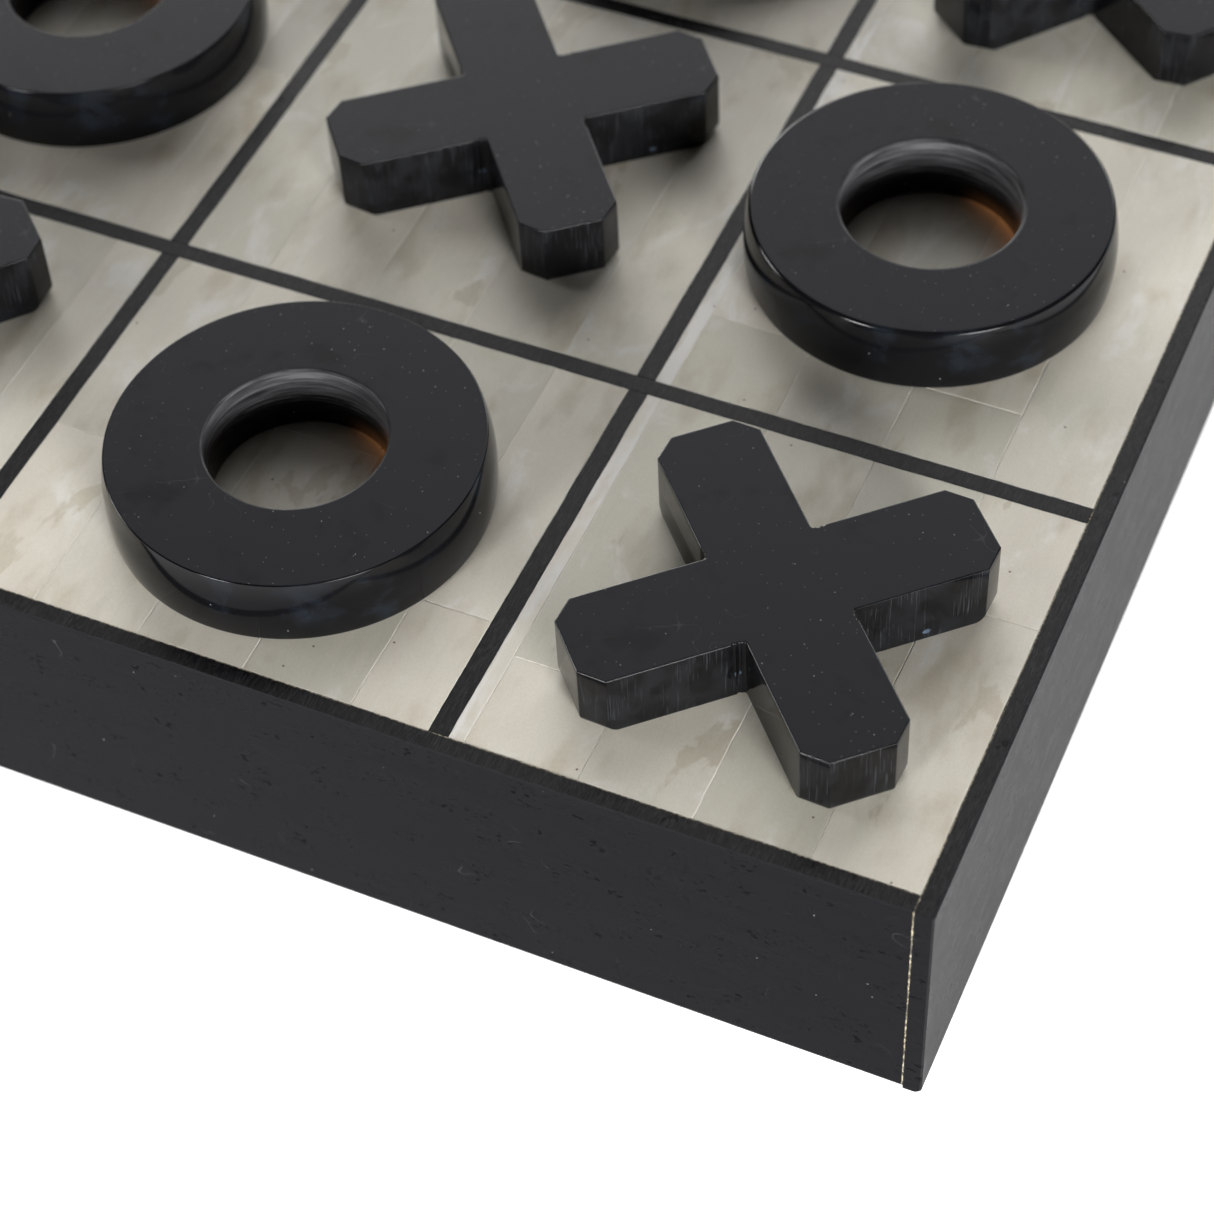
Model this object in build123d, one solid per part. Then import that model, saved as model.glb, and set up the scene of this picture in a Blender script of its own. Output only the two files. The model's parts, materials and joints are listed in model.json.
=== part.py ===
from build123d import *

import math
import os

# Tic tac toe set: an inlaid box-shaped board with five X pieces and four O pieces set out on it.
# The origin is the centre of the board's underside. +X is to the right, +Y to the back, +Z up.

# Board, overall
BOARD_WIDTH = 254.0
BOARD_HEIGHT = 50.8
SIDE_PLATE = 3.1
CORNER_GLUE = 0.25
BORDER_GLUE = 0.2
TOP_EDGE_BREAK = 0.3
BOTTOM_EDGE_ROUND = 1.5

# Board, inside
FELT_THICKNESS = 1.0
FELT_INSET = 4.0
FELT_CORNER_RADIUS = 6.0
FLOOR_THICKNESS = 6.0
DECK_THICKNESS = 12.0
RAIL_WIDTH = 18.0
INLAY_THICKNESS = 3.0

# Grid of the playing field
STRIP_WIDTH = 3.4
SIDE_CELL_WIDTH = 77.25
SIDE_CELL_DEPTH = 77.9

# Bone inlay: a cell is filled with long strips, and some strips are made up of two lengths
BONE_STRIP_WIDTH = 19.0
FIRST_STRIP_WIDTH = {"left": 8.6, "middle": 13.4, "right": 17.3}
STRIP_CUTS = {
    ("left", "front"): (0, 0.34, 0, 0.71, 0),
    ("middle", "front"): (0.3, 0, 0.62, 0, 0.45),
    ("right", "front"): (0.69, 0, 0, 0.235, 0),
    ("left", "middle"): (0.55, 0, 0.28, 0, 0.64),
    ("middle", "middle"): (0, 0.74, 0, 0.31, 0),
    ("right", "middle"): (0, 0.18, 0, 0.21, 0),
    ("left", "back"): (0, 0.4, 0, 0.22, 0),
    ("middle", "back"): (0.66, 0, 0.27, 0, 0),
    ("right", "back"): (0.36, 0, 0.68, 0, 0),
}

# Pieces, all of one thickness
PIECE_THICKNESS = 12.7
PIECE_TOP_BREAK = 0.25

X_LENGTH = 69.5
X_ARM_WIDTH = 17.6
X_TIP_CHAMFER = 3.5
X_TIP_ROUND = 1.9
X_CROTCH_RADIUS = 0.6

O_TOP_RADIUS = 31.2
O_FOOT_RADIUS = 31.8
O_WIDEST_RADIUS = 32.2
O_WIDEST_HEIGHT = 5.0
O_FOOT_ROUND = 0.8

# How each O was finished by hand: the radius of its bore, and the rounding of the bore and of the top
O_CRISP = (15.1, 0.5, 0.4)
O_SOFT = (15.6, 0.9, 0.9)

# Where each piece stands: its cell, how far it is off the cell's centre, and how far an X is turned
X_PIECES = {
    "x_front_left": ("left", "front", -1.5, 1.0, 3.0),
    "x_front_right": ("right", "front", 1.15, -1.2, -2.3),
    "x_centre": ("middle", "middle", 2.4, 1.8, -6.0),
    "x_back_left": ("left", "back", 1.2, -0.8, -4.0),
    "x_back_right": ("right", "back", -0.8, 1.4, 5.0),
}
O_PIECES = {
    "o_front": ("middle", "front", 2.7, -1.8, O_CRISP),
    "o_left": ("left", "middle", -1.2, 1.5, O_CRISP),
    "o_right": ("right", "middle", -6.1, 2.4, O_SOFT),
    "o_back": ("middle", "back", 1.6, -1.1, O_SOFT),
}

# How far apart two lengths may be and still count as the same
ROUNDING_ERROR = 0.001

# Levels, from the table up
PLATE_BOTTOM = FELT_THICKNESS
RAIL_BOTTOM = FELT_THICKNESS + FLOOR_THICKNESS
INLAY_BOTTOM = BOARD_HEIGHT - INLAY_THICKNESS
DECK_BOTTOM = INLAY_BOTTOM - DECK_THICKNESS

# Half sizes, from the centre of the board out
HALF_BOARD = BOARD_WIDTH / 2
HALF_CORE = HALF_BOARD - SIDE_PLATE
HALF_FIELD = HALF_CORE - BORDER_GLUE


def block(low, high):
    """A box from its lowest corner to its highest one."""
    size = [high[i] - low[i] for i in range(3)]
    return Pos(*low) * Box(*size, align=(Align.MIN, Align.MIN, Align.MIN))


def spans(side_size):
    """The low and high end of each of three cells across the field, with the grid strips left out."""
    inner = HALF_CORE - side_size
    return (
        (-HALF_FIELD, -inner),
        (-inner + STRIP_WIDTH, inner - STRIP_WIDTH),
        (inner, HALF_FIELD),
    )


COLUMNS = dict(zip(("left", "middle", "right"), spans(SIDE_CELL_WIDTH)))
ROWS = dict(zip(("front", "middle", "back"), spans(SIDE_CELL_DEPTH)))


# ---- the board's case ----


def base_felt():
    half = HALF_BOARD - FELT_INSET
    sheet = block((-half, -half, 0), (half, half, FELT_THICKNESS))
    return fillet(sheet.edges().filter_by(Axis.Z), FELT_CORNER_RADIUS)


def core_floor():
    return block((-HALF_CORE, -HALF_CORE, PLATE_BOTTOM), (HALF_CORE, HALF_CORE, RAIL_BOTTOM))


def core_deck():
    return block((-HALF_CORE, -HALF_CORE, DECK_BOTTOM), (HALF_CORE, HALF_CORE, INLAY_BOTTOM))


def core_long_rail(side):
    """A rail along the front (side -1) or the back (side 1), over the full width."""
    low = min(side * HALF_CORE, side * (HALF_CORE - RAIL_WIDTH))
    return block((-HALF_CORE, low, RAIL_BOTTOM), (HALF_CORE, low + RAIL_WIDTH, DECK_BOTTOM))


def core_short_rail(side):
    """A rail on the left (side -1) or the right (side 1), between the two long rails."""
    low = min(side * HALF_CORE, side * (HALF_CORE - RAIL_WIDTH))
    half_length = HALF_CORE - RAIL_WIDTH
    return block((low, -half_length, RAIL_BOTTOM), (low + RAIL_WIDTH, half_length, DECK_BOTTOM))


def side_plate(half_length):
    """A plate against the front of the core, with its lower outer edge rounded and its upper one broken."""
    plate = block((-half_length, -HALF_BOARD, PLATE_BOTTOM), (half_length, -HALF_CORE, BOARD_HEIGHT))
    outer = plate.faces().sort_by(Axis.Y)[0].edges().filter_by(Axis.X).sort_by(Axis.Z)
    plate = fillet(outer[0], BOTTOM_EDGE_ROUND)
    outer = plate.faces().sort_by(Axis.Y)[0].edges().filter_by(Axis.X).sort_by(Axis.Z)
    return chamfer(outer[-1], TOP_EDGE_BREAK)


def end_plate():
    """The full-depth plate for the left or right, made on the front: its standing edges are broken too."""
    plate = side_plate(HALF_BOARD)
    outer = plate.faces().sort_by(Axis.Y)[0].edges().filter_by(Axis.Z)
    return chamfer(outer, TOP_EDGE_BREAK)


def corner_glue_lines():
    """Four thin walls of glue, between each end of the front and back plates and the full-depth plates."""
    walls = []
    for x_side in (-1, 1):
        for y_side in (-1, 1):
            x_low = min(x_side * HALF_CORE, x_side * (HALF_CORE - CORNER_GLUE))
            y_low = min(y_side * HALF_CORE, y_side * HALF_BOARD)
            low = (x_low, y_low, PLATE_BOTTOM)
            high = (x_low + CORNER_GLUE, y_low + SIDE_PLATE, BOARD_HEIGHT)
            wall = block(low, high)
            face = wall.faces().sort_by(Axis.Y)[-1 if y_side > 0 else 0]
            foot = face.edges().filter_by(Axis.X).sort_by(Axis.Z)[0]
            wall = fillet(foot, BOTTOM_EDGE_ROUND)
            face = wall.faces().sort_by(Axis.Y)[-1 if y_side > 0 else 0]
            head = face.edges().filter_by(Axis.X).sort_by(Axis.Z)[-1]
            walls.append(chamfer(head, TOP_EDGE_BREAK))
    return walls


def border_glue_frame():
    """The thin line of glue all round the playing field, inside the four plates."""
    outer = block((-HALF_CORE, -HALF_CORE, INLAY_BOTTOM), (HALF_CORE, HALF_CORE, BOARD_HEIGHT))
    inner = block((-HALF_FIELD, -HALF_FIELD, INLAY_BOTTOM), (HALF_FIELD, HALF_FIELD, BOARD_HEIGHT))
    return outer - inner


# ---- the playing field ----


def inlay(x_low, x_high, y_low, y_high):
    """One piece let into the field, on the deck and level with the top of the board."""
    return block((x_low, y_low, INLAY_BOTTOM), (x_high, y_high, BOARD_HEIGHT))


def row_strip(front_row, back_row):
    """A dark strip over the full width, between two rows of cells."""
    return inlay(-HALF_FIELD, HALF_FIELD, ROWS[front_row][1], ROWS[back_row][0])


def column_strip(left_column, right_column, row):
    """A dark strip one cell long, between two columns and butted against the row strips."""
    y_low, y_high = ROWS[row]
    return inlay(COLUMNS[left_column][1], COLUMNS[right_column][0], y_low, y_high)


def bone_strips(column, row):
    """The strips of bone that fill one cell, counted from its right-hand side."""
    x_low, x_high = COLUMNS[column]
    y_low, y_high = ROWS[row]
    pieces = []
    right = x_high
    width = FIRST_STRIP_WIDTH[column]
    for share in STRIP_CUTS[(column, row)]:
        left = max(right - width, x_low)
        ends = [y_low, y_high]
        if share:
            ends.insert(1, y_low + share * (y_high - y_low))
        for near, far in zip(ends, ends[1:]):
            pieces.append(inlay(left, right, near, far))
        right = left
        width = BONE_STRIP_WIDTH
    return pieces


# ---- the pieces ----


def arm_points(direction):
    """Outline points of one arm's tip, clockwise, for an arm that points along direction in degrees."""
    tip = X_LENGTH / 2
    half = X_ARM_WIDTH / 2
    along = Vector(math.cos(math.radians(direction)), math.sin(math.radians(direction)))
    across = Vector(-along.Y, along.X)
    corners = (
        (tip - X_TIP_CHAMFER, half),
        (tip, half - X_TIP_CHAMFER),
        (tip, X_TIP_CHAMFER - half),
        (tip - X_TIP_CHAMFER, -half),
    )
    return [along * a + across * b for a, b in corners]


def x_piece():
    """Two crossed arms in one piece, with cut corners and rounded feet under the tips."""
    outline = []
    for direction in (135, 45, -45, -135):
        outline += arm_points(direction)
        crotch = math.radians(direction - 45)
        reach = X_ARM_WIDTH / math.sqrt(2)
        outline.append(Vector(reach * math.cos(crotch), reach * math.sin(crotch)))
    body = extrude(make_face(Polyline(*outline, close=True)), PIECE_THICKNESS)

    upright = body.edges().filter_by(Axis.Z)
    crotches = [e for e in upright if e.center().length < X_ARM_WIDTH]
    body = fillet(crotches, X_CROTCH_RADIUS)

    feet = body.faces().sort_by(Axis.Z)[0].edges()
    inner_reach = X_LENGTH / 2 - X_TIP_CHAMFER
    tips = [e for e in feet if Vector(e.center().X, e.center().Y).length > inner_reach]
    body = fillet(tips, X_TIP_ROUND)
    return chamfer(body.faces().sort_by(Axis.Z)[-1].edges(), PIECE_TOP_BREAK)


def o_piece(bore_radius, bore_round, top_round):
    """A thick ring with a flat top, an outer wall that is widest low down, and a rounded bore."""
    top = PIECE_THICKNESS
    widest = (O_WIDEST_RADIUS, O_WIDEST_HEIGHT)
    floor = Line((bore_radius, 0), (O_FOOT_RADIUS, 0))
    wall = ThreePointArc((O_FOOT_RADIUS, 0), widest, (O_TOP_RADIUS, top))
    lid = Line((O_TOP_RADIUS, top), (bore_radius, top))
    bore = Line((bore_radius, top), (bore_radius, 0))
    ring = revolve(Plane.XZ * make_face([floor, wall, lid, bore]), Axis.Z)
    ring = fillet(rims(ring, bore_radius), bore_round)
    ring = fillet(rims(ring, O_FOOT_RADIUS), O_FOOT_ROUND)
    return fillet(rims(ring, O_TOP_RADIUS), top_round)


def rims(ring, radius):
    """The round edges of one radius, from the lowest up."""
    circles = ring.edges().filter_by(GeomType.CIRCLE).sort_by(Axis.Z)
    return [edge for edge in circles if abs(edge.radius - radius) < ROUNDING_ERROR]


def on_cell(shape, column, row, off_x, off_y, turn):
    """The shape standing on a cell, off its centre by a little and turned about the upright axis."""
    x = sum(COLUMNS[column]) / 2 + off_x
    y = sum(ROWS[row]) / 2 + off_y
    return Pos(x, y, BOARD_HEIGHT) * Rot(0, 0, turn) * shape


# ---- assembly ----


def board_nodes():
    front = side_plate(HALF_CORE - CORNER_GLUE)
    right = Rot(0, 0, 90) * end_plate()
    nodes = {
        "base_felt": base_felt(),
        "core_floor": core_floor(),
        "core_rail_front": core_long_rail(-1),
        "core_rail_back": core_long_rail(1),
        "core_rail_left": core_short_rail(-1),
        "core_rail_right": core_short_rail(1),
        "core_deck": core_deck(),
        "side_plate_front": front,
        "side_plate_back": Rot(0, 0, 180) * front,
        "side_plate_right": right,
        "side_plate_left": Rot(0, 0, 180) * right,
        "corner_glue_lines": Compound(children=corner_glue_lines()),
        "border_glue_frame": border_glue_frame(),
        "row_strip_front": row_strip("front", "middle"),
        "row_strip_back": row_strip("middle", "back"),
    }
    for row in ROWS:
        nodes[f"column_strip_left_{row}"] = column_strip("left", "middle", row)
        nodes[f"column_strip_right_{row}"] = column_strip("middle", "right", row)
        for column in COLUMNS:
            nodes[f"bone_cell_{row}_{column}"] = Compound(children=bone_strips(column, row))
    return nodes


def piece_nodes():
    x_shape = x_piece()
    nodes = {}
    for name, (column, row, off_x, off_y, turn) in X_PIECES.items():
        nodes[name] = on_cell(x_shape, column, row, off_x, off_y, turn)
    for name, (column, row, off_x, off_y, finish) in O_PIECES.items():
        nodes[name] = on_cell(o_piece(*finish), column, row, off_x, off_y, 0)
    return nodes


os.makedirs("parts", exist_ok=True)
for node_name, shape in {**board_nodes(), **piece_nodes()}.items():
    export_step(shape, f"parts/{node_name}.step")
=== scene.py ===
import cmath
import json
import math

import bpy
from mathutils import Matrix, Vector, noise

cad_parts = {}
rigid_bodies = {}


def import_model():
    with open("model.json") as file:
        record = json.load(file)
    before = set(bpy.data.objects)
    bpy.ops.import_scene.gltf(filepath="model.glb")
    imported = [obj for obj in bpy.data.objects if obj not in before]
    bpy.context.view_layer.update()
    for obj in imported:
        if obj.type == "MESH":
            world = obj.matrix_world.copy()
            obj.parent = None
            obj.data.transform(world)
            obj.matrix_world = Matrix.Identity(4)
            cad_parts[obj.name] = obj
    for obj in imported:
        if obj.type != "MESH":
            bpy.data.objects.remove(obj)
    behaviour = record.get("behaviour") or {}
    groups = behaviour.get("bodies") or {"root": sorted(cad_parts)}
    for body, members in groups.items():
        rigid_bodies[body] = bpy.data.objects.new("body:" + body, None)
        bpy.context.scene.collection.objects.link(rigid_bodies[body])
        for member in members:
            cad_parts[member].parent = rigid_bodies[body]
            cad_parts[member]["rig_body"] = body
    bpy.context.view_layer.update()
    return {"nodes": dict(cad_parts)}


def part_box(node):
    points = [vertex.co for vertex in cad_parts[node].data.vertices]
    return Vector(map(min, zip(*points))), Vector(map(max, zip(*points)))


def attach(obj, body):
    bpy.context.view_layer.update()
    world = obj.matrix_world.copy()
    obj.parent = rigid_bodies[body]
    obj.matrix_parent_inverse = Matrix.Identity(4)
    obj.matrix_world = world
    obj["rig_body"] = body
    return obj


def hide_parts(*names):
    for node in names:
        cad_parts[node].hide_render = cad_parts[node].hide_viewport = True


# Looks of the tic tac toe set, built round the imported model. Metres, +Z up, in the model's own frame.
MM = 0.001

# Hand-cut edges of the inlay
JOINT_GAP = 0.012 * MM
INLAY_BEVEL = 0.15 * MM
EDGE_STEP = 0.7 * MM
STRAY_LENGTHS = (7.0 * MM, 1.6 * MM)
STRAY_SIZES = (0.10 * MM, 0.035 * MM)
STRAY_SEED = 3
TILE_DROP = 0.012 * MM
SLIVER_WIDTH = 4.0 * MM
TILE_LABELS = ("rim", "tone", "shift", "pale")

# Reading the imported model
FLAT_SLACK = 0.005 * MM
FLAT_RISE = 0.999

# Playing pieces
SHARP_ANGLE = math.radians(32)
TOP_BREAK = 0.25 * MM
SIDE_FOOT_ROUND = 0.35 * MM
X_ARM_WIDTH = 17.6 * MM
X_TIP_CHAMFER = 3.5 * MM
X_TIP_ROUND = 1.9 * MM
X_EDGE_ROUND = 0.4 * MM
X_CROTCH_ROUND = 0.6 * MM
X_FLUTES = ((1.15 * MM, 1.0), (2.05 * MM, 0.0))
X_FLUTE_HALF_WIDTH = 0.42 * MM
X_FLUTE_DEPTH = 0.2 * MM
X_WALL_SHARES = (0.45, 0.6, 0.75, 0.88)
X_TIP_STEPS = 9
X_ROUND_STEPS = 4
O_FOOT_STEP = 0.4 * MM
O_TOP_STEP = 1.0 * MM
O_WIDEST_SHARE = 0.39
O_FOOT_ROUND = 0.8 * MM
O_FOOT_TILT = -8
O_TOP_TILT = 14
O_SEGMENTS = 288
O_WALL_STEPS = 14
ARC_STEPS = 8
CORNER_STEPS = 4
FLUTE_STEPS = 6

# Camera
CAMERA_PLACE = Vector((0.19726, -0.36982, 0.4284))
CAMERA_AZIMUTH = math.radians(26.37)
CAMERA_ELEVATION = math.radians(50.49)
CAMERA_ROLL = math.radians(-3.42)
CAMERA_LENS = 91.55
CAMERA_SENSOR = 36
CAMERA_FOCUS = "x_front_right"
CAMERA_STOP = 18

# Lights of the room, which also show in glossy surfaces: azimuth counted from the camera's,
# elevation, strength and radius, angles in degrees
LIGHTS = (
    (167, 31, 2.5, 36),
    (165, 71, 0.5, 22),
    (22, 4, 14.0, 15),
    (-45, 11, 24.0, 10),
    (-109, 16, 9.5, 12),
    (145, 15, 4.0, 12),
    (195, 12, 8.0, 19),
)
# The low front lights again: the part of each that is kept out of the gloss
LOW_LIGHTS = ((22, 4, 74.0, 15), (-45, 11, 20.0, 10))
LIGHT_CORE = 0.3
ROOM_LEVEL = 0.01
LIGHT_COLOUR = (1.0, 0.995, 0.985)
FLOOR_SIZE = 4.0
FLOOR_GLOW = 0.15

# Colours of the bone
BONE_CREAM = (0.755, 0.715, 0.615)
BONE_GREEN = (0.700, 0.672, 0.570)
BONE_PINK = (0.735, 0.685, 0.590)
BONE_MILK = (0.830, 0.810, 0.755)
BONE_OCHRE = (0.520, 0.455, 0.330)
BONE_UMBER = (0.555, 0.490, 0.375)
BONE_SLIVER = (0.880, 0.865, 0.830)
BONE_PORE = (0.110, 0.055, 0.030)
BONE_JOINT = (0.900, 0.865, 0.790)

# Horn. A painted warm glow stands in for the light that comes through it, low on one side of a ring's
# bore: where from, counted from the camera's azimuth, how strong, and the share of it that the camera
# sees directly
GLOW_SIDE = math.radians(100)
GLOW_LEVEL = 0.28
GLOW_SEEN = 0.1
HORN_GLOW = (1.0, 0.42, 0.16)
HORN_DUST = (0.300, 0.300, 0.300)
HORN_SCRATCH = (0.040, 0.040, 0.043)

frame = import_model()
nodes = frame["nodes"]


# ---- helpers ----


def direction(azimuth, elevation):
    """Unit vector towards a place at an azimuth and elevation, as the camera's are counted."""
    flat = math.cos(elevation)
    return Vector((math.sin(azimuth) * flat, -math.cos(azimuth) * flat, math.sin(elevation)))


def make_mesh(name, points, faces, attributes=None):
    """A mesh from points and faces, with one number per point for each named attribute."""
    mesh = bpy.data.meshes.new(name)
    mesh.from_pydata(points, [], faces)
    for label, values in (attributes or {}).items():
        layer = mesh.attributes.new(label, "FLOAT", "POINT")
        layer.data.foreach_set("value", values)
    mesh.validate()
    return mesh


def place_piece(name, mesh, material, node):
    """Puts a mesh in the scene in place of the CAD node, on the node's body."""
    piece = bpy.data.objects.new(name, mesh)
    mesh.materials.append(material)
    bpy.context.scene.collection.objects.link(piece)
    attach(piece, nodes[node]["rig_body"])
    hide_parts(node)
    return piece


def bridge(faces, lower, upper, count):
    """Quads between two closed rings of points, given by the number of their first point."""
    for i in range(count):
        j = (i + 1) % count
        faces.append((lower + i, lower + j, upper + j, upper + i))


# ---- the inlay of the playing field ----


def strayed(x, y):
    """Where a hand-sawn edge really runs near a place. Neighbours share it, so no gap opens."""
    place = Vector((x, y, 0.0))
    for length, size in zip(STRAY_LENGTHS, STRAY_SIZES):
        place += noise.noise_vector(Vector((x, y, 0.0)) / length) * size
    return place.x, place.y


def rectangle_ring(low, high, inset, counts):
    """Points round a rectangle, counter-clockwise, with the given number of steps per side."""
    x_low, y_low = low.x + inset, low.y + inset
    x_high, y_high = high.x - inset, high.y - inset
    corners = ((x_low, y_low), (x_high, y_low), (x_high, y_high), (x_low, y_high))
    ring = []
    for side in range(4):
        start = corners[side]
        end = corners[(side + 1) % 4]
        steps = counts[side % 2]
        for step in range(steps):
            share = step / steps
            x = start[0] + (end[0] - start[0]) * share
            y = start[1] + (end[1] - start[1]) * share
            ring.append(strayed(x, y))
    return ring


def add_tile(build, low, high, drop, tone, shift):
    """One inlaid tile: bottom, walls, a fine bevel and a top face. Slivers are the palest bone."""
    pale = 1.0 if high.x - low.x < SLIVER_WIDTH else 0.0
    counts = [max(2, round((high[i] - low[i]) / EDGE_STEP)) for i in range(2)]
    top = high.z - drop
    # Inset, height and share of joint filler of each ring of points
    rings = (
        (JOINT_GAP, low.z, 1.0),
        (JOINT_GAP, top - INLAY_BEVEL * 0.4, 1.0),
        (JOINT_GAP + INLAY_BEVEL * 0.3, top - INLAY_BEVEL * 0.12, 0.9),
        (JOINT_GAP + INLAY_BEVEL, top, 0.0),
    )
    first = len(build["points"])
    for inset, z, rim in rings:
        for x, y in rectangle_ring(low, high, inset, counts):
            build["points"].append((x, y, z))
            build["rim"].append(rim)
            build["tone"].append(tone)
            build["shift"].append(shift)
            build["pale"].append(pale)
    count = 2 * sum(counts)
    for ring in range(len(rings) - 1):
        bridge(build["faces"], first + ring * count, first + (ring + 1) * count, count)
    last = first + (len(rings) - 1) * count
    build["faces"].append(tuple(range(first + count - 1, first - 1, -1)))
    build["faces"].append(tuple(range(last, last + count)))


def new_build():
    """Room for the points, faces and point labels of an inlaid part."""
    return {"points": [], "faces": [], **{label: [] for label in TILE_LABELS}}


def built_mesh(name, build):
    """The mesh of a filled build."""
    attributes = {label: build[label] for label in TILE_LABELS}
    return make_mesh(name, build["points"], build["faces"], attributes)


def top_rectangles(node):
    """The lowest and highest corner of each top face of a CAD node, ordered by place."""
    mesh = nodes[node].data
    top = max(vertex.co.z for vertex in mesh.vertices)
    groups = {}
    for face in mesh.polygons:
        corners = [mesh.vertices[i].co for i in face.vertices]
        if min(corner.z for corner in corners) < top - FLAT_SLACK:
            continue
        shared = set(face.vertices)
        touching = [key for key in groups if groups[key] & shared]
        for key in touching:
            shared |= groups.pop(key)
        groups[min(shared)] = shared
    boxes = []
    for members in groups.values():
        xs = [mesh.vertices[i].co.x for i in members]
        ys = [mesh.vertices[i].co.y for i in members]
        boxes.append(((min(xs), min(ys)), (max(xs), max(ys))))
    return sorted(boxes)


def unit_noise(x, y, salt):
    """A number from -1 to 1 that depends only on the place and the salt. The uneven factors
    keep places and salts from falling on the same cell."""
    return noise.cell(Vector((x * 931.7 + salt * 17.3, y * 877.1 - salt * 5.9, salt * 3.1)))


def bone_cell(node, material):
    """The bone tiles of one square, each with its own tone, pattern and sunk depth."""
    low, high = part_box(node)
    build = new_build()
    for (x_low, y_low), (x_high, y_high) in top_rectangles(node):
        drop = TILE_DROP * (1 + unit_noise(x_low, y_low, 1))
        tone = unit_noise(x_low, y_low, 2)
        shift = unit_noise(x_low, y_low, 3)
        tile_low = Vector((x_low, y_low, low.z))
        tile_high = Vector((x_high, y_high, high.z))
        add_tile(build, tile_low, tile_high, drop, tone, shift)
    name = node.replace("bone_cell", "bone_tiles")
    place_piece(name, built_mesh(node, build), material, node)


def dark_strip(node, material):
    """One dark strip of the grid, with hand-cut edges."""
    low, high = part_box(node)
    build = new_build()
    shift = unit_noise(low.x, low.y, 4)
    add_tile(build, low, high, 0.0, 0.5, shift)
    place_piece(f"horn_{node}", built_mesh(node, build), material, node)


# ---- X pieces ----


def turn_of(node):
    """How far an X is turned from its arms lying along the diagonals, and its half length."""
    low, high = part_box(node)
    centre = (low + high) / 2
    spokes = []
    for vertex in nodes[node].data.vertices:
        if vertex.co.z > high.z - TOP_BREAK / 2:
            spokes.append(complex(vertex.co.x - centre.x, vertex.co.y - centre.y))
    turn = cmath.phase(-sum(spoke ** 4 for spoke in spokes)) / 4
    arm = cmath.rect(1, turn + math.pi / 4)
    half_length = max((spoke * arm.conjugate()).real for spoke in spokes) + TOP_BREAK
    return centre, turn, half_length


def foot_inset(z, radius):
    """How far a wall is drawn in at a height, above a rounded foot."""
    if z >= radius:
        return 0.0
    return radius - math.sqrt(radius ** 2 - (radius - z) ** 2)


def x_levels(height):
    """Heights of the rings of points, close together where the wall curves."""
    tip_turns = [math.pi / 2 * i / X_TIP_STEPS for i in range(X_TIP_STEPS + 1)]
    turns = [math.pi / 2 * i / X_ROUND_STEPS for i in range(X_ROUND_STEPS + 1)]
    foot = [X_TIP_ROUND * (1 - math.cos(turn)) for turn in tip_turns]
    side = [SIDE_FOOT_ROUND * (1 - math.cos(turn)) for turn in turns[1:]]
    middle = [height * share for share in X_WALL_SHARES]
    top = [height - TOP_BREAK * (1 - math.sin(turn)) for turn in turns]
    return sorted(foot + side + middle + top)


def offset_corner(corner, before, after, inset_before, inset_after):
    """Where two neighbouring walls meet when each is drawn in by its own amount."""
    way_in = (corner - before).normalized()
    way_out = (after - corner).normalized()
    normal_in = Vector((-way_in.y, way_in.x))
    normal_out = Vector((-way_out.y, way_out.x))
    bend = way_in.x * way_out.y - way_in.y * way_out.x
    gap = normal_out * inset_after - normal_in * inset_before
    slide = (gap.x * way_out.y - gap.y * way_out.x) / bend
    return corner + normal_in * inset_before + way_in * slide


def rounded_corner(corner, before, after, radius):
    """Points of the arc that replaces a corner."""
    way_in = (corner - before).normalized()
    way_out = (after - corner).normalized()
    half_angle = way_in.angle(way_out) / 2
    reach = radius * math.tan(half_angle)
    start = corner - way_in * reach
    end = corner + way_out * reach
    points = []
    for step in range(CORNER_STEPS + 1):
        t = step / CORNER_STEPS
        points.append(start * (1 - t) ** 2 + corner * 2 * t * (1 - t) + end * t ** 2)
    return points


def flutes(corner, way, across, height_share):
    """Points of the shallow tool marks down a wall next to a crotch, from the corner outward."""
    points = []
    for place, foot_share in X_FLUTES:
        depth = X_FLUTE_DEPTH * (foot_share + (1 - foot_share) * height_share)
        for step in range(FLUTE_STEPS + 1):
            turn = math.pi * step / FLUTE_STEPS
            along = place - X_FLUTE_HALF_WIDTH * math.cos(turn)
            points.append(corner + way * along + across * depth * math.sin(turn))
    return points


def x_walls(half_length):
    """Corners of the sharp outline, counter-clockwise, with each corner's kind."""
    half = X_ARM_WIDTH / 2
    shoulder = half_length - X_TIP_CHAMFER
    arm = (
        ("side", shoulder, -half),
        ("tip", half_length, X_TIP_CHAMFER - half),
        ("tip", half_length, half - X_TIP_CHAMFER),
        ("tip", shoulder, half),
    )
    corners = []
    for quarter in range(4):
        spin = Matrix.Rotation(math.pi / 4 + quarter * math.pi / 2, 2)
        for kind, along, across in arm:
            corners.append((kind, spin @ Vector((along, across))))
        corners.append(("crotch", spin @ Vector((half, half))))
    return corners


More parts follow.
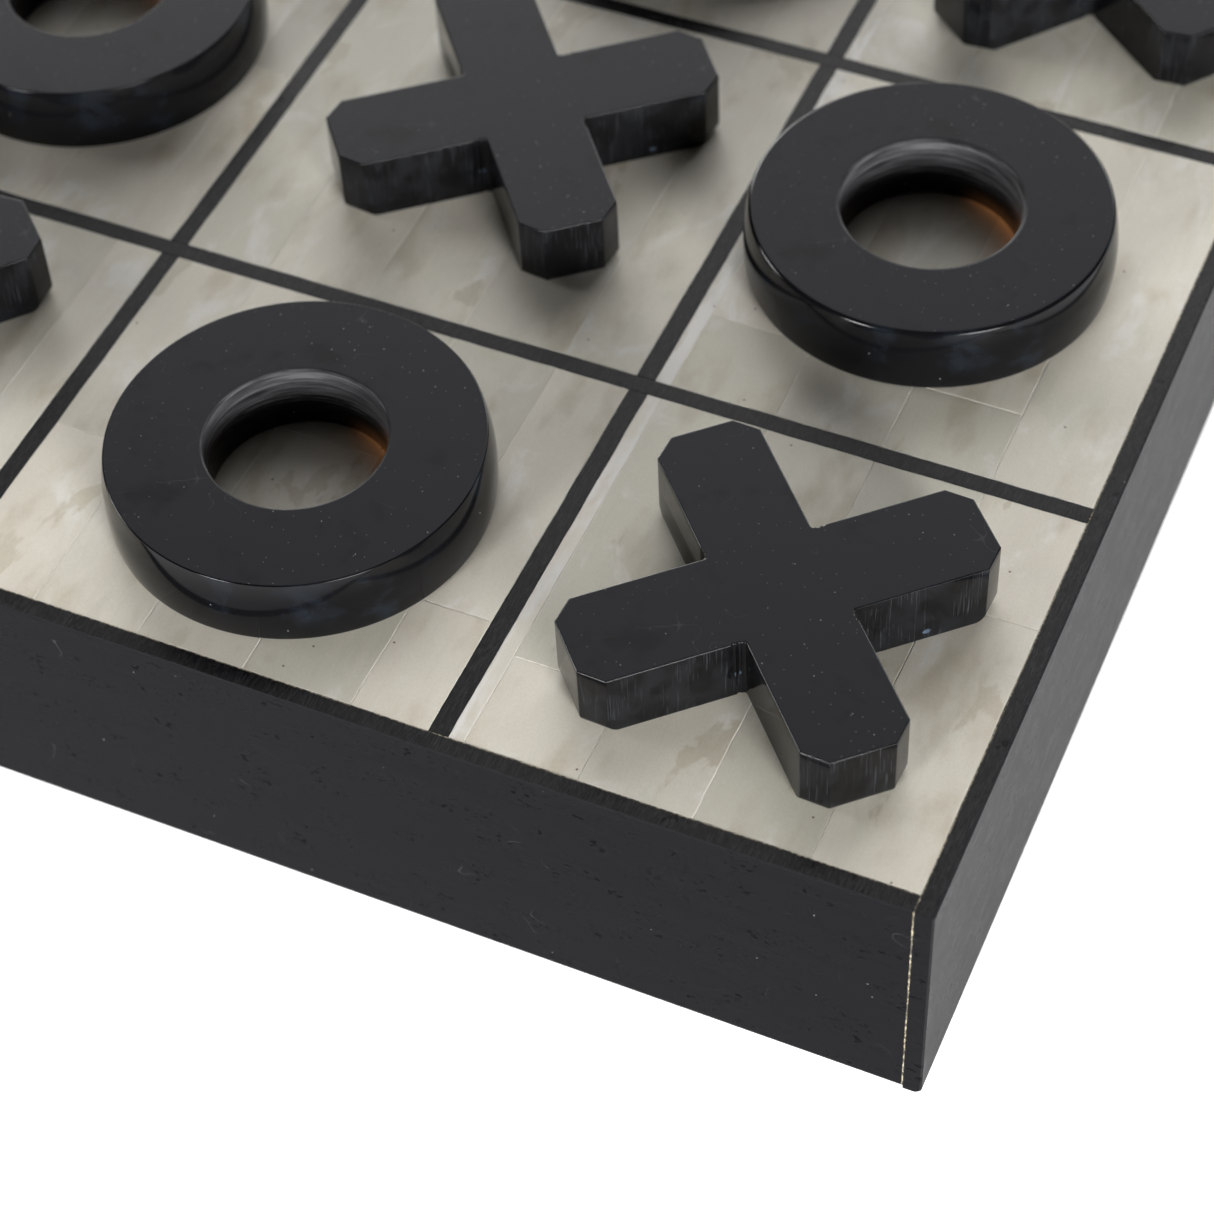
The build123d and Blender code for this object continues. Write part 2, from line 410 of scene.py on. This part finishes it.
def x_ring(corners, z, height):
    """The outline at one height: tips drawn in more than sides, flutes next to each crotch."""
    tip_inset = foot_inset(z, X_TIP_ROUND) + foot_inset(height - z, TOP_BREAK)
    side_inset = foot_inset(z, SIDE_FOOT_ROUND) + foot_inset(height - z, TOP_BREAK)
    count = len(corners)
    moved = []
    for i, (kind, corner) in enumerate(corners):
        before = corners[i - 1][1]
        next_kind, after = corners[(i + 1) % count]
        leaves_on_tip = kind == "side" or (kind == "tip" and next_kind != "crotch")
        inset_before = tip_inset if kind == "tip" else side_inset
        inset_after = tip_inset if leaves_on_tip else side_inset
        moved.append(offset_corner(corner, before, after, inset_before, inset_after))
    ring = []
    for i, (kind, _) in enumerate(corners):
        before, corner, after = moved[i - 1], moved[i], moved[(i + 1) % count]
        if kind != "crotch":
            ring += rounded_corner(corner, before, after, X_EDGE_ROUND)
            continue
        back = (before - corner).normalized()
        onward = (after - corner).normalized()
        ring += reversed(flutes(corner, back, -onward, z / height))
        ring += rounded_corner(corner, before, after, X_CROTCH_ROUND)
    return ring


def x_piece(node, material):
    """An X: the outline stacked up in rings, turned as the CAD node is."""
    centre, turn, half_length = turn_of(node)
    low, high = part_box(node)
    height = high.z - low.z
    corners = x_walls(half_length)
    points = []
    faces = []
    levels = x_levels(height)
    for z in levels:
        ring = x_ring(corners, z, height)
        points += [(p.x, p.y, z) for p in ring]
    count = len(ring)
    for level in range(len(levels) - 1):
        bridge(faces, level * count, (level + 1) * count, count)
    last = (len(levels) - 1) * count
    faces.append(tuple(range(count - 1, -1, -1)))
    faces.append(tuple(range(last, last + count)))
    mesh = make_mesh(node, points, faces)
    piece = place_piece(f"horn_{node}", mesh, material, node)
    settle(piece, centre, low.z, turn)


def settle(piece, centre, z, turn):
    """Puts a piece made about its own centre where the CAD node stands, with smooth walls."""
    piece.data.set_sharp_from_angle(angle=SHARP_ANGLE)
    rounded = [abs(face.normal.z) < FLAT_RISE for face in piece.data.polygons]
    piece.data.polygons.foreach_set("use_smooth", rounded)
    piece.matrix_world = Matrix.Translation((centre.x, centre.y, z)) @ Matrix.Rotation(turn, 4, "Z")


# ---- O pieces ----


def arc(centre, radius, start, end, steps):
    """Points of an arc in the ring's section, angles in degrees."""
    points = []
    for step in range(steps + 1):
        angle = math.radians(start + (end - start) * step / steps)
        points.append((centre[0] + radius * math.cos(angle), centre[1] + radius * math.sin(angle)))
    return points


def o_radii(node, centre):
    """A ring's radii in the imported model: bore, the flat top's inner and outer edge, and the widest."""
    low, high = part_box(node)
    all_radii = []
    flat = []
    for vertex in nodes[node].data.vertices:
        radius = math.hypot(vertex.co.x - centre.x, vertex.co.y - centre.y)
        all_radii.append(radius)
        if vertex.co.z > high.z - FLAT_SLACK:
            flat.append(radius)
    return min(all_radii), min(flat), max(flat), (high.x - low.x) / 2


def o_wall(widest, height):
    """The outer wall's radius as a function of height: a shallow curve through foot, widest and top."""
    swell_height = O_WIDEST_SHARE * height
    foot = widest - O_FOOT_STEP
    curve = O_FOOT_STEP / swell_height + O_TOP_STEP / height - O_FOOT_STEP / height
    bend = -curve / (height - swell_height)
    slope = O_FOOT_STEP / swell_height - bend * swell_height
    return lambda z: foot + slope * z + bend * z * z


def o_section(radii, height):
    """The ring's section as (distance from the axis, height), from the foot of the bore round."""
    bore, flat_inner, flat_outer, widest = radii
    wall = o_wall(widest, height)
    bore_round = flat_inner - bore
    top_round = (wall(height) - flat_outer) * math.tan(math.radians(45 + O_TOP_TILT / 2))
    foot_centre = (wall(O_FOOT_ROUND) - O_FOOT_ROUND, O_FOOT_ROUND)
    top_centre = (flat_outer, height - top_round)
    section = arc((bore + bore_round, bore_round), bore_round, 180, 270, ARC_STEPS)
    section += arc(foot_centre, O_FOOT_ROUND, -90, O_FOOT_TILT, ARC_STEPS)
    for step in range(1, O_WALL_STEPS):
        z = O_FOOT_ROUND + (height - top_round - O_FOOT_ROUND) * step / O_WALL_STEPS
        section.append((wall(z), z))
    section += arc(top_centre, top_round, O_TOP_TILT, 90, ARC_STEPS)
    section += arc((bore + bore_round, height - bore_round), bore_round, 90, 180, ARC_STEPS)
    return section


def o_piece(node, material):
    """An O: the ring's section turned round its axis."""
    low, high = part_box(node)
    centre = (low + high) / 2
    section = o_section(o_radii(node, centre), high.z - low.z)
    points = []
    faces = []
    for radius, z in section:
        for step in range(O_SEGMENTS):
            angle = 2 * math.pi * step / O_SEGMENTS
            points.append((radius * math.cos(angle), radius * math.sin(angle), z))
    rings = len(section)
    for ring in range(rings):
        bridge(faces, ring * O_SEGMENTS, (ring + 1) % rings * O_SEGMENTS, O_SEGMENTS)
    mesh = make_mesh(node, points, faces)
    piece = place_piece(f"horn_{node}", mesh, material, node)
    settle(piece, centre, low.z, 0.0)


# ---- materials ----
# Noise sizes are millimetres along X, Y and Z. A ramp runs between two levels of its input.


class Tree:
    """Shader nodes, with one short call for each kind of node used here."""

    def __init__(self, tree):
        self.tree = tree
        self.tree.nodes.clear()

    def add(self, kind):
        """A new node, by the part of its type after ShaderNode."""
        return self.tree.nodes.new("ShaderNode" + kind)

    def feed(self, socket, value):
        """Links a socket into an input, or sets the input to a plain value."""
        if isinstance(value, bpy.types.NodeSocket):
            self.tree.links.new(value, socket)
        elif hasattr(value, "__len__") and len(value) == 3 and socket.type == "RGBA":
            socket.default_value = (*value, 1.0)
        else:
            socket.default_value = value

    def math(self, operation, *values):
        """Arithmetic on numbers."""
        node = self.add("Math")
        node.operation = operation
        for socket, value in zip(node.inputs, values):
            self.feed(socket, value)
        return node.outputs[0]

    def times(self, first, *others):
        """The product of several numbers."""
        for other in others:
            first = self.math("MULTIPLY", first, other)
        return first

    def plus(self, first, *others):
        """The sum of several numbers."""
        for other in others:
            first = self.math("ADD", first, other)
        return first

    def without(self, share):
        """The rest of a share of 1."""
        return self.math("SUBTRACT", 1.0, share)

    def vector(self, operation, *values):
        """Arithmetic on vectors, which gives a number for a length or a dot product."""
        node = self.add("VectorMath")
        node.operation = operation
        for socket, value in zip(node.inputs, values):
            self.feed(socket, value)
        return node.outputs["Value" if operation in ("LENGTH", "DOT_PRODUCT") else "Vector"]

    def part(self, vector, axis):
        """One component of a vector or of a colour."""
        node = self.add("SeparateXYZ")
        self.feed(node.inputs[0], vector)
        return node.outputs[axis]

    def ramp(self, value, low, high, to_low=0.0, to_high=1.0):
        """A smooth step from to_low at low to to_high at high."""
        node = self.add("MapRange")
        node.interpolation_type = "SMOOTHSTEP"
        ends = (value, low, high, to_low, to_high)
        for socket, number in zip(node.inputs, ends):
            self.feed(socket, number)
        return node.outputs[0]

    def blend(self, share, first, second):
        """A number between two others."""
        return self.plus(self.times(second, share), self.times(self.without(share), first))

    def mix(self, share, first, second, way="MIX"):
        """A colour between two others. A mix node's colours are its inputs 6 and 7 and its output 2."""
        node = self.add("Mix")
        node.data_type = "RGBA"
        node.blend_type = way
        self.feed(node.inputs["Factor"], share)
        self.feed(node.inputs[6], first)
        self.feed(node.inputs[7], second)
        return node.outputs[2]


class Surface(Tree):
    """A material made of one surface shader."""

    def __init__(self, name):
        self.material = bpy.data.materials.new(name)
        self.material.use_nodes = True
        super().__init__(self.material.node_tree)
        self.shader = self.add("BsdfPrincipled")
        self.output = self.add("OutputMaterial")
        self.feed(self.output.inputs[0], self.shader.outputs[0])
        self.place = self.add("TexCoord").outputs["Object"]
        self.facing = self.add("NewGeometry").outputs["Normal"]

    def scaled(self, size, shift=(0, 0, 0)):
        """Object coordinates in units of size, which is in millimetres along each axis."""
        rate = [1 / (length * MM) for length in size]
        return self.vector("ADD", self.vector("MULTIPLY", self.place, rate), shift)

    def noise(self, size, detail=2.0, rough=0.5, shift=(0, 0, 0), twist=0.0):
        """Clouds of about the given size, from 0 to 1 round a half."""
        node = self.add("TexNoise")
        self.feed(node.inputs["Vector"], self.scaled(size, shift))
        node.inputs["Scale"].default_value = 1.0
        node.inputs["Detail"].default_value = detail
        node.inputs["Roughness"].default_value = rough
        node.inputs["Distortion"].default_value = twist
        return node.outputs["Fac"]

    def across(self):
        """Millimetres along a flat face, whichever of the axes it faces along."""
        turned = self.math("GREATER_THAN", self.part(self.vector("ABSOLUTE", self.facing), 0), 0.5)
        x, y, z = (self.part(self.scaled((1, 1, 1)), axis) for axis in range(3))
        node = self.add("CombineXYZ")
        self.feed(node.inputs[0], self.blend(turned, x, y))
        self.feed(node.inputs[1], self.blend(self.top(), z, y))
        return node.outputs[0]

    def specks(self, spacing, share, radius, shift=(0, 0, 0)):
        """1 inside small dots, one for a share of the cells, and 0 elsewhere."""
        node = self.add("TexVoronoi")
        node.voronoi_dimensions = "2D"
        units = self.vector("MULTIPLY", self.across(), (1 / spacing, 1 / spacing, 0))
        self.feed(node.inputs["Vector"], self.vector("ADD", units, shift))
        node.inputs["Scale"].default_value = 1.0
        near = self.ramp(node.outputs["Distance"], radius / spacing, radius / spacing * 0.6)
        pick = self.math("LESS_THAN", self.part(node.outputs["Color"], 0), share)
        return self.times(near, pick)

    def attribute(self, name):
        """The number that the mesh holds under a name."""
        node = self.add("Attribute")
        node.attribute_name = name
        return node.outputs["Fac"]

    def grey(self, level):
        """A grey of the given level, as a colour."""
        node = self.add("CombineColor")
        for socket in node.inputs:
            self.feed(socket, level)
        return node.outputs[0]

    def bump(self, height, distance, strength=1.0):
        """Surface detail from a height of 0 to 1, distance metres tall."""
        node = self.add("Bump")
        node.inputs["Strength"].default_value = strength
        node.inputs["Distance"].default_value = distance
        self.feed(node.inputs["Height"], height)
        return node.outputs[0]

    def top(self):
        """1 on faces that look up, 0 on walls."""
        return self.ramp(self.part(self.facing, 2), 0.9, 0.99)

    def edge(self):
        """1 on the rounds and breaks round a top face, 0 on tops and walls."""
        rise = self.part(self.facing, 2)
        return self.times(self.ramp(rise, 0.08, 0.3), self.ramp(rise, 0.99, 0.9))

    def finish(self, colour, roughness, normal=None, **more):
        """Feeds the surface shader, with its other inputs by name, and gives the material."""
        self.feed(self.shader.inputs["Base Color"], colour)
        self.feed(self.shader.inputs["Roughness"], roughness)
        if normal is not None:
            self.feed(self.shader.inputs["Normal"], normal)
        for name, value in more.items():
            self.feed(self.shader.inputs[name.replace("_", " ")], value)
        return self.material


def bone_clouds(s, shift):
    """Cream to pinkish and grey-green, in soft clouds drawn out along the strips."""
    tone = s.attribute("tone")
    clouds = s.plus(s.noise((9, 22, 9), 4, 0.55, shift, 0.5), s.times(tone, 0.24), -0.12)
    colour = s.mix(s.ramp(clouds, 0.34, 0.5), BONE_GREEN, BONE_CREAM)
    colour = s.mix(s.ramp(clouds, 0.5, 0.68), colour, BONE_PINK)
    milk = s.noise((10, 15, 10), 5, 0.6, shift, 0.6)
    return s.mix(s.ramp(milk, 0.54, 0.70, 0.0, 0.9), colour, BONE_MILK)


def bone_patches(s, colour, shift):
    """Translucent places: a ragged edge on one side, fading away on the other."""
    reach = s.noise((20, 38, 20), 5, 0.6, s.vector("ADD", shift, (3.7, 8.1, 1.3)), 0.3)
    patch = s.times(s.ramp(reach, 0.62, 0.65), s.ramp(reach, 0.82, 0.66))
    colour = s.mix(s.times(patch, 0.55), colour, BONE_OCHRE)
    pool = s.noise((9, 20, 9), 3, 0.55, s.vector("ADD", shift, (9.2, 0.4, 5.5)))
    return s.mix(s.ramp(pool, 0.52, 0.74, 0.0, 0.75), colour, BONE_UMBER)


def bone_material():
    """Polished bone: soft clouds, faint lengthwise grain, pores and pale filled joints."""
    s = Surface("bone")
    shift = s.vector("MULTIPLY", s.attribute("shift"), (91.0, 57.0, 33.0))
    colour = bone_patches(s, bone_clouds(s, shift), shift)
    grain = s.noise((0.8, 14, 1), 3, 0.6, shift)
    fine = s.noise((0.4, 0.9, 0.5), 3, 0.6, shift)
    colour = s.mix(s.ramp(grain, 0.5, 0.78, 0.0, 0.12), colour, BONE_UMBER)
    colour = s.mix(s.ramp(fine, 0.3, 0.75, 0.0, 0.14), colour, BONE_MILK)
    mottle = s.ramp(s.noise((0.25, 0.5, 0.25), 1, 0.5), 0.2, 0.8, 0.965, 1.035)
    level = s.times(mottle, s.ramp(s.attribute("tone"), 0.0, 1.0, 0.92, 1.05))
    colour = s.mix(1.0, colour, s.grey(level), "MULTIPLY")
    milky = s.ramp(s.noise((4, 14, 4), 3, 0.6, shift), 0.38, 0.62, 0.1, 0.95)
    colour = s.mix(s.times(s.attribute("pale"), milky), colour, BONE_SLIVER)
    colour = s.mix(s.times(s.specks(17.0, 0.3, 0.25, shift), 0.85), colour, BONE_PORE)
    filled = s.ramp(s.noise((2, 5, 2), 3, 0.6), 0.35, 0.6, 0.4, 1.0)
    joint = s.times(s.ramp(s.attribute("rim"), 0.0, 0.7), filled)
    colour = s.mix(joint, colour, BONE_JOINT)
    height = s.plus(s.times(grain, 0.6), s.times(s.noise((9, 22, 9), 1, 0.5), 3.0))
    roughness = s.ramp(grain, 0.3, 0.7, 0.34, 0.44)
    return s.finish(colour, roughness, s.bump(height, 0.015 * MM, 0.5), IOR=1.42)


def dust(s, spacing, share, radius, shift=(0, 0, 0)):
    """Pale dots, brighter in one place than another."""
    level = s.ramp(s.noise((30, 30, 30), 1), 0.3, 0.7, 0.4, 1.0)
    return s.times(s.specks(spacing, share, radius, shift), level)


def horn_case_material():
    """Dark horn sheet, sanded: fine lengthwise fibres, faint blotches, pale dust and a painted highlight
    on the edges.
    """
    s = Surface("horn_case")
    top = s.top()
    turned = s.math("GREATER_THAN", s.part(s.vector("ABSOLUTE", s.facing), 0), 0.5)
    fibres = s.blend(turned, s.noise((26, 0.3, 0.3), 3, 0.65), s.noise((0.3, 26, 0.3), 3, 0.65))
    blotches = s.noise((7, 7, 5), 4, 0.6, (4, 2, 8))
    scratches = s.noise((0.25, 2.4, 2.4), 3, 0.7, (1, 6, 3), 0.8)
    rubs = s.noise((1.3, 1.3, 0.8), 2, 0.5, (7, 3, 5))
    colour = s.mix(s.ramp(fibres, 0.35, 0.75), (0.0040, 0.0040, 0.0052), (0.0058, 0.0058, 0.0070))
    dark = s.times(s.ramp(blotches, 0.50, 0.66), s.ramp(rubs, 0.58, 0.66))
    colour = s.mix(dark, colour, (0.001, 0.001, 0.0012))
    worn = s.times(top, s.ramp(scratches, 0.42, 0.72))
    colour = s.mix(worn, colour, (0.032, 0.032, 0.034))
    # Painted highlight: the rounds and breaks round a top face are made lighter.
    colour = s.mix(s.edge(), colour, (0.014, 0.014, 0.016))
    colour = s.mix(s.times(dust(s, 9.0, 0.16, 0.16), 0.7), colour, HORN_DUST)
    colour = s.mix(s.times(hairlines(s, 9, 0.60), 0.6), colour, HORN_SCRATCH)
    height = s.plus(fibres, s.times(blotches, 0.5), s.times(scratches, top))
    roughness = s.plus(s.ramp(blotches, 0.35, 0.7, 0.30, 0.25), s.times(dark, 0.1))
    gloss = s.times(s.blend(top, s.blend(turned, 0.10, 0.21), 0.15), s.blend(dark, 1.0, 0.5))
    return s.finish(colour, roughness, s.bump(height, 0.01 * MM, 0.5), IOR=1.5, Specular_IOR_Level=gloss)


def hairlines(s, size, share):
    """Fine curved scratches: level lines of a smooth noise, kept in a few places only."""
    sweep = s.math("ABSOLUTE", s.plus(s.noise((size, size, size), 1, 0.4, (3, 9, 2)), -0.5))
    places = s.ramp(s.noise((9, 9, 9), 2, 0.5, (6, 1, 4)), share, share + 0.05)
    return s.times(s.ramp(sweep, 0.004, 0.001), places)


def horn_lid(s):
    """Colour and roughness of flat tops: satin, with darker rubbed places, scratches and dust."""
    smudges = s.noise((11, 11, 11), 4, 0.6)
    rubbed = s.ramp(smudges, 0.56, 0.7, 0.0, 0.8)
    colour = s.mix(rubbed, (0.0108, 0.0116, 0.0148), (0.0048, 0.0051, 0.0066))
    fine_dust = s.times(dust(s, 1.8, 0.2, 0.1, (5, 5, 5)), 0.6)
    specks = s.math("MAXIMUM", dust(s, 4.0, 0.20, 0.13), fine_dust)
    colour = s.mix(s.times(hairlines(s, 7, 0.58), 0.6), colour, HORN_SCRATCH)
    colour = s.mix(s.times(specks, 0.9), colour, HORN_DUST)
    return colour, s.ramp(smudges, 0.4, 0.75, 0.40, 0.33)


def horn_x_material():
    """Dark horn with satin tops and glossy walls, which keep upright saw and sanding marks, and painted
    bluish glints on the walls.
    """
    s = Surface("horn_x")
    top = s.top()
    lid, lid_roughness = horn_lid(s)
    marks = s.noise((0.17, 0.17, 9.0), 3, 0.65)
    spread = s.noise((6, 6, 7), 2, 0.5, (2, 5, 1))
    scratch = s.times(s.ramp(marks, 0.52, 0.80), s.ramp(spread, 0.38, 0.62, 0.12, 1.0))
    cloudy = s.ramp(s.noise((5, 5, 6), 3, 0.6, (8, 2, 6)), 0.42, 0.66)
    wall = s.mix(cloudy, (0.0024, 0.0025, 0.0028), (0.0062, 0.0067, 0.0078))
    wall = s.mix(s.times(scratch, 0.8), wall, (0.050, 0.054, 0.062))
    flat_place = s.vector("MULTIPLY", s.place, (1 / MM, 1 / MM, 0))
    # Painted glints: bluish spots on the walls, kept off the arm ends, stand in for light reflected
    # inside the translucent horn.
    inner = s.ramp(s.vector("LENGTH", flat_place), 25, 22)
    painted_glints = s.times(s.specks(5.0, 0.3, 0.6, (0.35, 0.1, 0.6)), inner)
    wall = s.mix(s.times(painted_glints, 0.5), wall, (0.10, 0.14, 0.20))
    colour = s.mix(top, wall, lid)
    roughness = s.blend(top, s.ramp(scratch, 0.0, 0.8, 0.12, 0.4), lid_roughness)
    height = s.plus(s.times(marks, s.without(top)), s.times(s.noise((8, 8, 6), 1), 2.0))
    gloss = s.plus(s.blend(top, 0.20, 0.115), s.times(s.edge(), 0.35))
    return s.finish(colour, roughness, s.bump(height, 0.012 * MM, 0.5), IOR=1.5, Specular_IOR_Level=gloss)


def horn_o_material():
    """Dark horn with satin tops, a polished outer wall, a bore left rougher in its upper half, and a
    painted warm glow low on one side of the bore.
    """
    s = Surface("horn_o")
    top = s.top()
    lid, lid_roughness = horn_lid(s)
    flat_place = s.vector("MULTIPLY", s.place, (1 / MM, 1 / MM, 0))
    bore = s.ramp(s.vector("LENGTH", flat_place), 18, 16.8)
    low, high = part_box("o_front")
    height_share = s.times(s.part(s.place, 2), 1 / (high.z - low.z))
    turning = s.noise((13, 13, 0.35), 4, 0.7)
    hazy = s.times(bore, s.ramp(s.plus(height_share, s.times(turning, 0.6)), 0.62, 1.0))
    wall = s.mix(s.ramp(s.noise((6, 6, 5), 4, 0.6, (3, 7, 1)), 0.5, 0.74, 0.0, 0.9),
                 (0.0030, 0.0031, 0.0036), (0.0065, 0.0085, 0.0115))
    wall = s.mix(s.times(bore, 0.6), wall, (0.012, 0.012, 0.012))
    haze = s.mix(s.ramp(turning, 0.36, 0.66), (0.008, 0.008, 0.0085), (0.095, 0.096, 0.102))
    wall = s.mix(hazy, wall, haze)
    wall = s.mix(s.specks(23.0, 0.3, 0.35), wall, (0.30, 0.10, 0.02))
    wall = s.mix(s.times(dust(s, 6.0, 0.15, 0.13), 0.8), wall, HORN_DUST)
    colour = s.mix(top, wall, lid)
    # Painted glow: emission low on one side of the bore stands in for warm light that comes through the
    # horn, and it also lights the bone below.
    side = direction(CAMERA_AZIMUTH + GLOW_SIDE, 0)
    lit_side = s.ramp(s.vector("DOT_PRODUCT", flat_place, tuple(side)), 9.0, 15.0)
    glow = s.times(s.times(bore, lit_side), s.ramp(height_share, 0.35, 0.03, 0.0, GLOW_LEVEL))
    glow = s.times(glow, s.blend(s.add("LightPath").outputs["Is Camera Ray"], 1.0, GLOW_SEEN))
    roughness = s.blend(top, s.blend(hazy, 0.10, 0.45), lid_roughness)
    height = s.plus(s.times(turning, hazy), s.times(s.noise((11, 11, 7), 1), 2.0))
    wall_gloss = s.ramp(height_share, 0.45, 0.75, 0.17, 0.115)
    gloss = s.plus(s.blend(top, wall_gloss, 0.098), s.times(s.edge(), s.without(bore), 0.3))
    bump = s.bump(height, 0.015 * MM, 0.5)
    material = s.finish(colour, roughness, bump, IOR=1.5, Specular_IOR_Level=gloss,
                        Emission_Color=HORN_GLOW, Emission_Strength=glow)
    # Too faint and too near to be worth sampling as a lamp
    material.cycles.emission_sampling = "NONE"
    return material


def glue_material():
    """Pale filler, ochre and uneven, broken up by dark dust."""
    s = Surface("glue")
    breaks = s.noise((0.5, 0.5, 1.1), 3, 0.7)
    colour = s.mix(s.ramp(breaks, 0.42, 0.62), (0.05, 0.045, 0.035), (0.42, 0.37, 0.27))
    return s.finish(colour, 0.7, s.bump(breaks, 0.05 * MM, 0.8))


def core_material():
    """Pressed fibre board."""
    s = Surface("core_board")
    flecks = s.noise((0.8, 0.3, 0.5), 4, 0.7)
    clouds = s.noise((14, 14, 14), 2, 0.5)
    colour = s.mix(s.ramp(flecks, 0.35, 0.7), (0.16, 0.095, 0.05), (0.33, 0.22, 0.12))
    colour = s.mix(s.ramp(clouds, 0.4, 0.7, 0.0, 0.3), colour, (0.12, 0.07, 0.04))
    return s.finish(colour, 0.8, s.bump(flecks, 0.05 * MM, 0.8))


def felt_material():
    """Black felt: a tangle of short fibres."""
    s = Surface("felt")
    tangle = s.noise((0.25, 0.9, 0.4), 5, 0.75, (0, 0, 0), 1.5)
    cross = s.noise((0.9, 0.25, 0.4), 5, 0.75, (9, 4, 2), 1.5)
    fibres = s.math("MAXIMUM", tangle, cross)
    colour = s.mix(s.ramp(fibres, 0.45, 0.75), (0.010, 0.010, 0.011), (0.045, 0.045, 0.048))
    return s.finish(colour, 0.95, s.bump(fibres, 0.25 * MM, 1.0), Sheen_Weight=0.4)


def floor_material():
    """Pale sheet, bright enough to be plain white for the camera and in reflections."""
    s = Surface("floor")
    colour = s.mix(s.noise((300, 300, 300)), (0.88, 0.88, 0.885), (0.90, 0.90, 0.905))
    path = s.add("LightPath")
    mirrored = s.times(path.outputs["Is Glossy Ray"], FLOOR_GLOW)
    glow = s.plus(path.outputs["Is Camera Ray"], mirrored)
    return s.finish(colour, 0.9, None, Emission_Color=(1.0, 1.0, 1.0), Emission_Strength=glow)


# ---- light, floor and camera ----


def studio():
    """Soft lights all round a dim room, and plain white where the camera sees past the floor."""
    world = bpy.data.worlds.new("studio")
    bpy.context.scene.world = world
    world.use_nodes = True
    t = Tree(world.node_tree)
    towards = t.add("TexCoord").outputs["Generated"]
    level = ROOM_LEVEL
    for azimuth, elevation, strength, radius in LIGHTS:
        centre = direction(CAMERA_AZIMUTH + math.radians(azimuth), math.radians(elevation))
        nearness = t.vector("DOT_PRODUCT", towards, centre)
        edge = math.cos(math.radians(radius))
        core = math.cos(math.radians(radius * LIGHT_CORE))
        level = t.plus(t.ramp(nearness, edge, core, 0.0, strength), level)
    camera_ray = t.add("LightPath").outputs["Is Camera Ray"]
    sky = t.add("Background")
    t.feed(sky.inputs["Color"], t.mix(camera_ray, LIGHT_COLOUR, (1.0, 1.0, 1.0)))
    t.feed(sky.inputs["Strength"], t.blend(camera_ray, level, 1.0))
    t.feed(t.add("OutputWorld").inputs[0], sky.outputs[0])


def low_lights():
    """Low front lights for the matt share of every surface: kept out of the gloss, so that
    the flat tops do not flare when they are seen from behind."""
    for count, (azimuth, elevation, strength, radius) in enumerate(LOW_LIGHTS):
        towards = direction(CAMERA_AZIMUTH + math.radians(azimuth), math.radians(elevation))
        core = math.cos(math.radians(radius * LIGHT_CORE))
        data = bpy.data.lights.new(f"low_light_{count}", "SUN")
        data.energy = strength * math.pi * (2 - core - math.cos(math.radians(radius)))
        data.angle = math.radians(1.5 * radius)
        data.color = LIGHT_COLOUR
        lamp = bpy.data.objects.new(f"low_light_{count}", data)
        lamp.rotation_euler = towards.to_track_quat("Z", "Y").to_euler()
        lamp.visible_glossy = False
        bpy.context.scene.collection.objects.link(lamp)


def floor():
    """The sheet that the set stands on."""
    half = FLOOR_SIZE / 2
    corners = [(-half, -half, 0), (half, -half, 0), (half, half, 0), (-half, half, 0)]
    mesh = make_mesh("floor", corners, [(0, 1, 2, 3)])
    mesh.materials.append(floor_material())
    sheet = bpy.data.objects.new("floor", mesh)
    bpy.context.scene.collection.objects.link(sheet)


def camera():
    """The camera, from where the set is photographed, focused on the piece nearest to it."""
    back = direction(CAMERA_AZIMUTH, CAMERA_ELEVATION)
    level = (-back).cross(Vector((0, 0, 1))).normalized()
    upright = level.cross(-back)
    across = level * math.cos(CAMERA_ROLL) + upright * math.sin(CAMERA_ROLL)
    up = -level * math.sin(CAMERA_ROLL) + upright * math.cos(CAMERA_ROLL)
    data = bpy.data.cameras.new("camera")
    data.lens = CAMERA_LENS
    data.sensor_width = CAMERA_SENSOR
    data.clip_start = 0.01
    eye = bpy.data.objects.new("camera", data)
    bpy.context.scene.collection.objects.link(eye)
    pose = Matrix((across, up, back)).transposed().to_4x4()
    eye.matrix_world = Matrix.Translation(CAMERA_PLACE) @ pose
    bpy.context.scene.camera = eye
    target = bpy.data.objects.new("focus", None)
    bpy.context.scene.collection.objects.link(target)
    low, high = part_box(CAMERA_FOCUS)
    target.location = (low + high) / 2
    data.dof.use_dof = True
    data.dof.focus_object = target
    data.dof.aperture_fstop = CAMERA_STOP


# ---- putting it together ----

# Without a seed, noise vectors come out different in each run
noise.seed_set(STRAY_SEED)

bone = bone_material()
case = horn_case_material()
x_horn = horn_x_material()
o_horn = horn_o_material()
core = core_material()
glue = glue_material()
felt = felt_material()

for node in sorted(nodes):
    if node.startswith("bone_cell"):
        bone_cell(node, bone)
    elif "strip" in node:
        dark_strip(node, case)
    elif node.startswith("x_"):
        x_piece(node, x_horn)
    elif node.startswith("o_"):
        o_piece(node, o_horn)
    elif node.startswith("side_plate"):
        nodes[node].material_slots[0].material = case
    elif node.startswith("core"):
        nodes[node].material_slots[0].material = core
    elif "glue" in node:
        nodes[node].material_slots[0].material = glue
    else:
        nodes[node].material_slots[0].material = felt

floor()
studio()
low_lights()
camera()
bpy.context.scene.view_settings.view_transform = "Standard"
